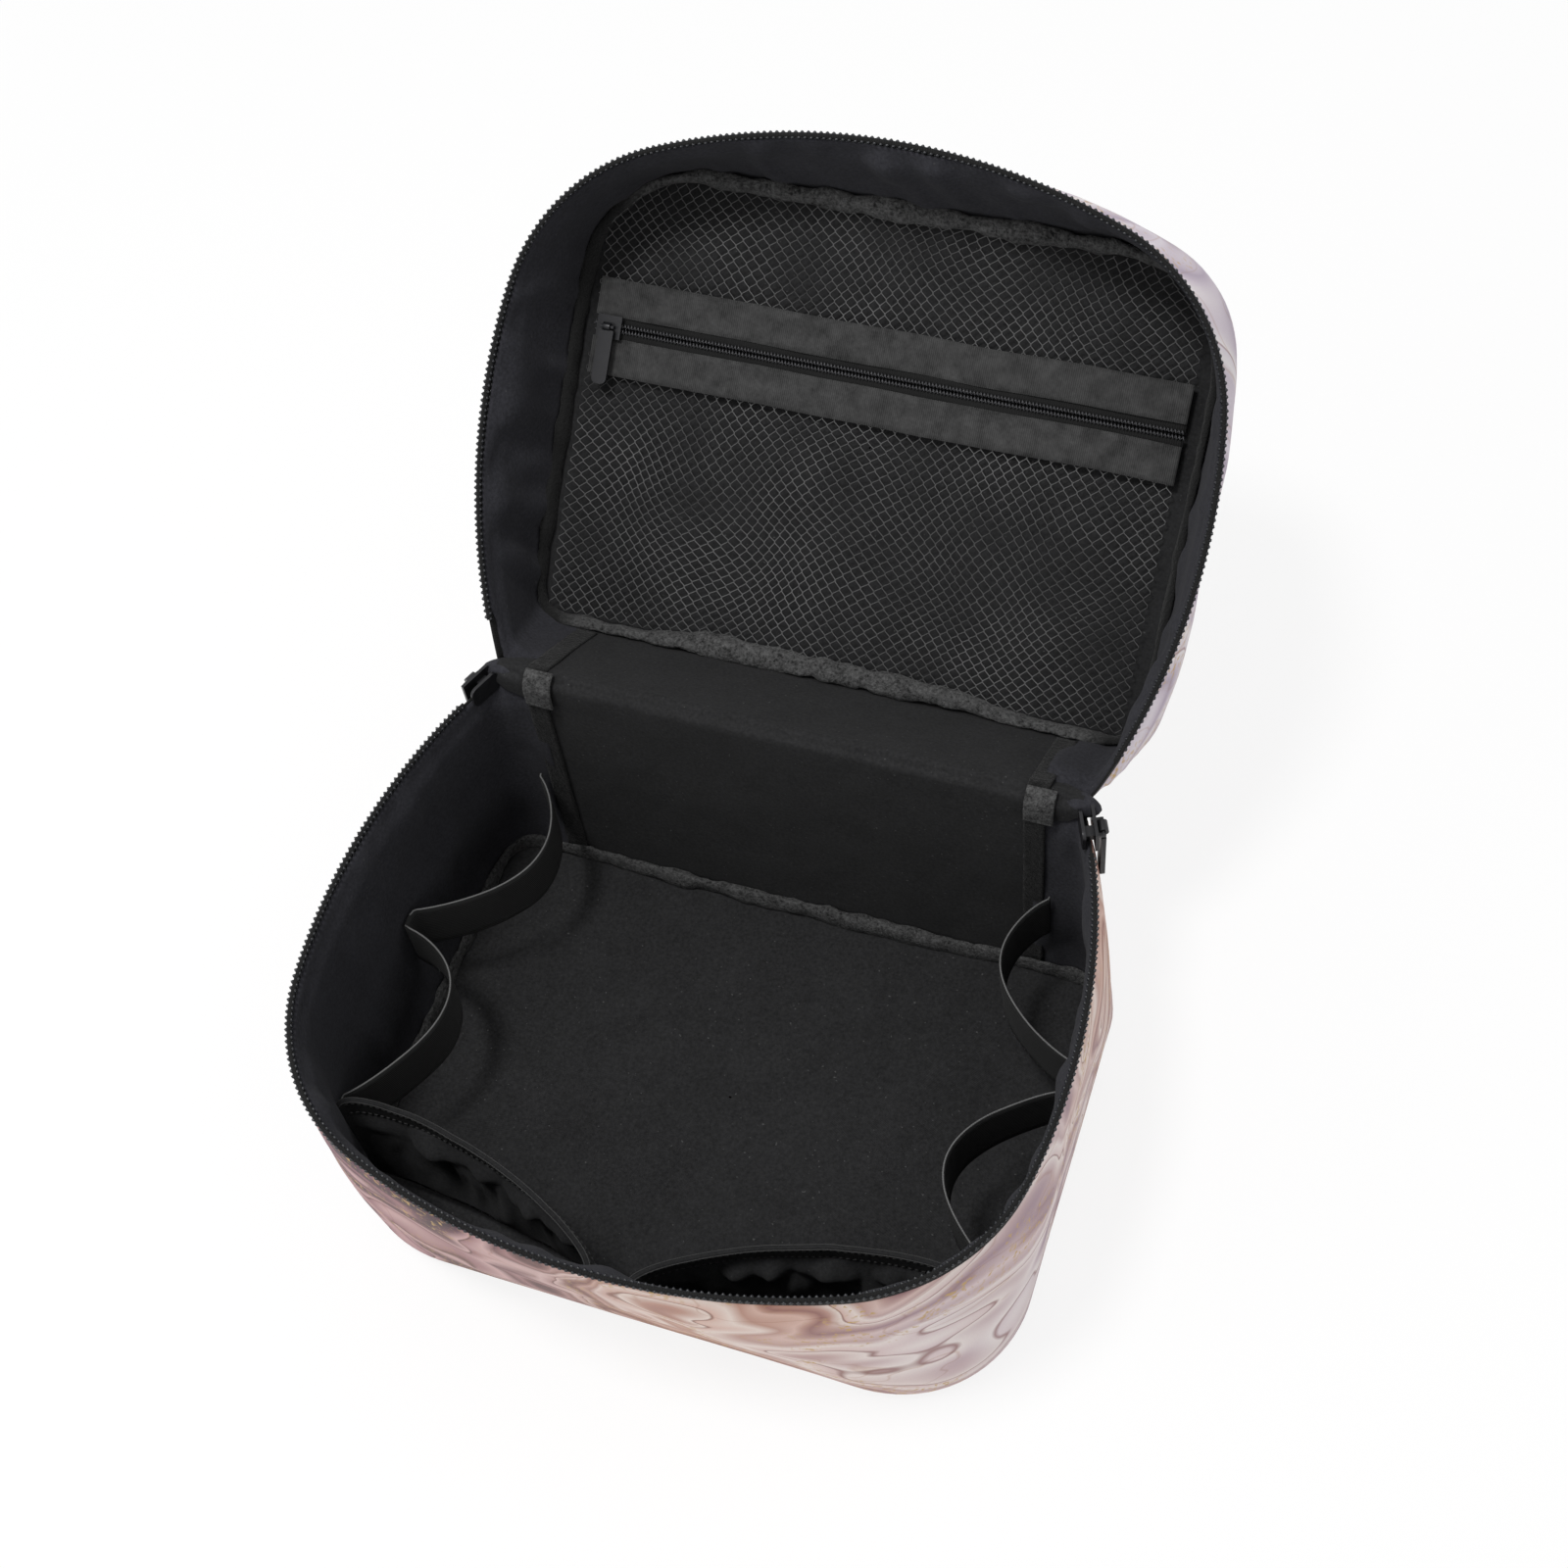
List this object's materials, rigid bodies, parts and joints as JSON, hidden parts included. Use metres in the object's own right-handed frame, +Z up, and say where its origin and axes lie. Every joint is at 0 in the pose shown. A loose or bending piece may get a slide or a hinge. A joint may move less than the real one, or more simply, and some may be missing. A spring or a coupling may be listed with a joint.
{
  "type": "makeup train case",
  "caption": "Soft padded makeup case with a zip-round lid on a sewn back fold, elastic side loops, gathered front pockets and a zipped net pocket in the lid.",
  "frame": {"origin": "centre of the case's flat underside", "axes": "+X to the right seen from the front, +Y to the back where the lid is hinged, +Z up"},
  "size_m": [0.2496, 0.364, 0.2413],
  "materials": {
    "printed_satin": "printed satin weave, soft sheen",
    "foam_padding": "closed-cell foam sheet",
    "stiffener": "plain plastic board",
    "black_lining": "matte plain weave",
    "binding_tape": "brushed non-woven tape",
    "zipper_coil": "moulded nylon",
    "zipper_tape": "dense herringbone tape",
    "black_metal": "black lacquered die-cast",
    "elastic": "ribbed elastic",
    "pocket_cloth": "gathered plain weave",
    "net": "knotless diamond net",
    "webbing": "woven webbing"
  },
  "bodies": {
    "base": {"base_back_foam": "foam_padding", "base_back_lining": "black_lining", "base_back_outer": "printed_satin", "base_band_foam": "foam_padding", "base_band_lining": "black_lining", "base_band_outer": "printed_satin", "base_bottom_board": "stiffener", "base_bottom_outer": "printed_satin", "base_seam_binding_left": "binding_tape", "base_seam_binding_right": "binding_tape", "base_zipper_tape": "zipper_tape", "base_zipper_teeth": "zipper_coil", "floor_binding": "binding_tape", "floor_foam": "foam_padding", "floor_lining": "black_lining", "front_left_pocket": "pocket_cloth", "front_left_pocket_hem": "elastic", "front_right_pocket": "pocket_cloth", "front_right_pocket_hem": "elastic", "hinge_fold": "printed_satin", "left_elastic_loops": "elastic", "left_main_slider": "black_metal", "right_elastic_loops": "elastic", "right_main_slider": "black_metal"},
    "lid": {"handle_patch_left": "webbing", "handle_patch_right": "webbing", "handle_strap": "webbing", "lid_back_foam": "foam_padding", "lid_back_lining": "black_lining", "lid_back_outer": "printed_satin", "lid_band_foam": "foam_padding", "lid_band_lining": "black_lining", "lid_band_outer": "printed_satin", "lid_panel_binding": "binding_tape", "lid_seam_binding_left": "binding_tape", "lid_seam_binding_right": "binding_tape", "lid_top_foam": "foam_padding", "lid_top_lining": "black_lining", "lid_top_outer": "printed_satin", "lid_zipper_tape": "zipper_tape", "lid_zipper_teeth": "zipper_coil", "net_lower": "net", "net_ribbon_lower": "zipper_tape", "net_ribbon_upper": "zipper_tape", "net_upper": "net", "net_zip_coil_lower": "zipper_coil", "net_zip_coil_upper": "zipper_coil", "net_zip_tape_lower": "zipper_tape", "net_zip_tape_upper": "zipper_tape"},
    "left_pull": {"left_main_pull": "black_metal"},
    "right_pull": {"right_main_pull": "black_metal"},
    "net_slider": {"net_slider": "black_metal"},
    "net_pull": {"net_pull": "black_metal"}
  },
  "joints": [
    {"name": "lid_hinge", "type": "hinge", "parent": "base", "child": "lid", "pos_m": [0, 0.087, 0.11], "axis": [-1, 0, 0], "range_deg": [-138, 20]},
    {"name": "left_pull_hinge", "type": "hinge", "parent": "base", "child": "left_pull", "pos_m": [-0.1108, 0.08093, 0.11], "axis": [0.3859, 0.9225, 0], "range_deg": [0, 110]},
    {"name": "right_pull_hinge", "type": "hinge", "parent": "base", "child": "right_pull", "pos_m": [0.1108, 0.08093, 0.11], "axis": [0.3859, -0.9225, 0], "range_deg": [0, 110]},
    {"name": "net_slider_travel", "type": "slide", "parent": "lid", "child": "net_slider", "axis": [1, 0, 0], "range_m": [0, 0.1978]},
    {"name": "net_pull_hinge", "type": "hinge", "parent": "net_slider", "child": "net_pull", "pos_m": [-0.0989, 0.20237, 0.1612], "axis": [-1, 0, 0], "range_deg": [0, 110]}
  ]
}
